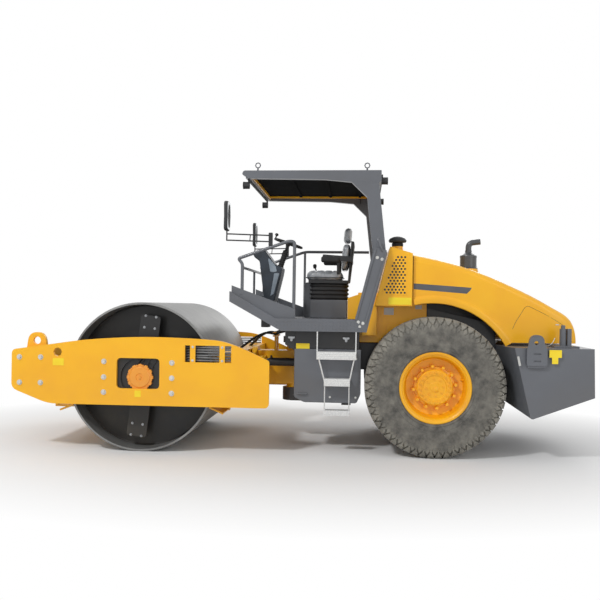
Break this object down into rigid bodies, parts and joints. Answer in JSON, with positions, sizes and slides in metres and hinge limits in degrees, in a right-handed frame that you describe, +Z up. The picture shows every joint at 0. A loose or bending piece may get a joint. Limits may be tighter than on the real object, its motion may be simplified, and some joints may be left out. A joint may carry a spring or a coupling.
{
  "type": "road roller",
  "caption": "Articulated road roller with a smooth steel drum in front, an open driver's platform under a canopy, and two lugged rear tyres.",
  "frame": {"origin": "on the ground, under the middle of the machine's length and width", "axes": "-X towards the drum, +X towards the engine, -Y the machine's left, +Z up"},
  "size_m": [5.842, 2.3, 2.996],
  "materials": {
    "yellow_paint": "smooth warm yellow enamel",
    "grey_paint": "semi-gloss blue-grey enamel",
    "black_paint": "satin black enamel",
    "bare_steel": "bare steel, dulled by use",
    "orange_paint": "smooth orange enamel",
    "engine_iron": "painted casting",
    "aluminium": "bright rough grip plate",
    "tyre": "dusty rubber",
    "console_plastic": "grained dark blue-grey moulding",
    "dark_trim": "matt black moulding",
    "seat_vinyl": "black seat cover"
  },
  "bodies": {
    "rear_frame": {"chassis": "black_paint", "rear_axle": "black_paint", "tank_left": "grey_paint", "tank_right": "grey_paint", "engine_block": "engine_iron", "counterweight": "grey_paint", "hood_pump": "grey_paint", "platform": "grey_paint", "ladder": "aluminium", "handrail_left": "grey_paint", "handrail_right": "grey_paint", "rops_leg_left": "grey_paint", "rops_leg_right": "grey_paint", "canopy": "grey_paint", "work_lights_front": "dark_trim", "work_lights_rear": "dark_trim", "console": "console_plastic", "steering_column": "dark_trim", "seat_base": "grey_paint", "seat_suspension": "dark_trim", "seat_frame": "dark_trim", "seat_cushion": "seat_vinyl", "seat_back": "seat_vinyl", "lever_box": "grey_paint", "mirror_left": "dark_trim", "mirror_right": "dark_trim", "engine_cowl": "yellow_paint", "pre_cleaner": "dark_trim"},
    "hitch": {"hitch": "yellow_paint"},
    "front_frame": {"side_plate_left": "yellow_paint", "side_plate_right": "yellow_paint", "front_cross_beam": "yellow_paint", "rear_cross_beam": "yellow_paint", "drum_carrier_left": "orange_paint", "drum_carrier_right": "orange_paint", "scraper_front": "yellow_paint", "scraper_rear": "yellow_paint"},
    "drum": {"drum_shell": "bare_steel", "drum_head_left": "black_paint", "drum_head_right": "black_paint"},
    "wheel_left": {"tyre_left": "tyre", "rim_left": "yellow_paint"},
    "wheel_right": {"tyre_right": "tyre", "rim_right": "yellow_paint"},
    "steering_wheel": {"steering_wheel": "dark_trim"},
    "hood": {"hood": "yellow_paint", "muffler": "grey_paint"},
    "steering_barrel_left": {"steering_barrel_left": "black_paint"},
    "steering_rod_left": {"steering_rod_left": "bare_steel"},
    "steering_barrel_right": {"steering_barrel_right": "black_paint"},
    "steering_rod_right": {"steering_rod_right": "bare_steel"}
  },
  "joints": [
    {"name": "articulation", "type": "hinge", "parent": "rear_frame", "child": "hitch", "pos_m": [-0.1075, 0, 0.78], "axis": [0, 0, 1], "range_deg": [-33, 33]},
    {"name": "oscillation", "type": "hinge", "parent": "hitch", "child": "front_frame", "pos_m": [-0.1075, 0, 0.78], "axis": [1, 0, 0], "range_deg": [-10, 10]},
    {"name": "drum_roll", "type": "hinge", "parent": "front_frame", "child": "drum", "pos_m": [-1.6, 0, 0.7615], "axis": [0, 1, 0], "continuous": true},
    {"name": "wheel_left_roll", "type": "hinge", "parent": "rear_frame", "child": "wheel_left", "pos_m": [1.385, -0.79, 0.708], "axis": [0, 1, 0], "continuous": true},
    {"name": "wheel_right_roll", "type": "hinge", "parent": "rear_frame", "child": "wheel_right", "pos_m": [1.385, 0.79, 0.708], "axis": [0, 1, 0], "continuous": true},
    {"name": "steering_wheel_turn", "type": "hinge", "parent": "rear_frame", "child": "steering_wheel", "pos_m": [-0.20928, 0, 2.22353], "axis": [0.309, 0, 0.9511], "continuous": true},
    {"name": "hood_hinge", "type": "hinge", "parent": "rear_frame", "child": "hood", "pos_m": [2.8, 0, 1.2], "axis": [0, 1, 0], "range_deg": [0, 50]},
    {"name": "steering_barrel_left_swing", "type": "hinge", "parent": "hitch", "child": "steering_barrel_left", "pos_m": [-0.4575, -0.3, 0.885], "axis": [0, 0, 1], "range_deg": [-18.5, 18.5]},
    {"name": "steering_rod_left_slide", "type": "slide", "parent": "steering_barrel_left", "child": "steering_rod_left", "axis": [0.9997, 0.0256, 0], "range_m": [-0.17, 0.17]},
    {"name": "steering_barrel_right_swing", "type": "hinge", "parent": "hitch", "child": "steering_barrel_right", "pos_m": [-0.4575, 0.3, 0.885], "axis": [0, 0, 1], "range_deg": [-18.5, 18.5]},
    {"name": "steering_rod_right_slide", "type": "slide", "parent": "steering_barrel_right", "child": "steering_rod_right", "axis": [0.9997, -0.0256, 0], "range_m": [-0.17, 0.17]}
  ],
  "couplings": [
    {"joint": "steering_barrel_left_swing", "follows": "articulation", "ratio": -0.5457},
    {"joint": "steering_rod_left_slide", "follows": "articulation", "m_per_rad": -0.2864},
    {"joint": "steering_barrel_right_swing", "follows": "articulation", "ratio": -0.5457},
    {"joint": "steering_rod_right_slide", "follows": "articulation", "m_per_rad": 0.2864}
  ]
}
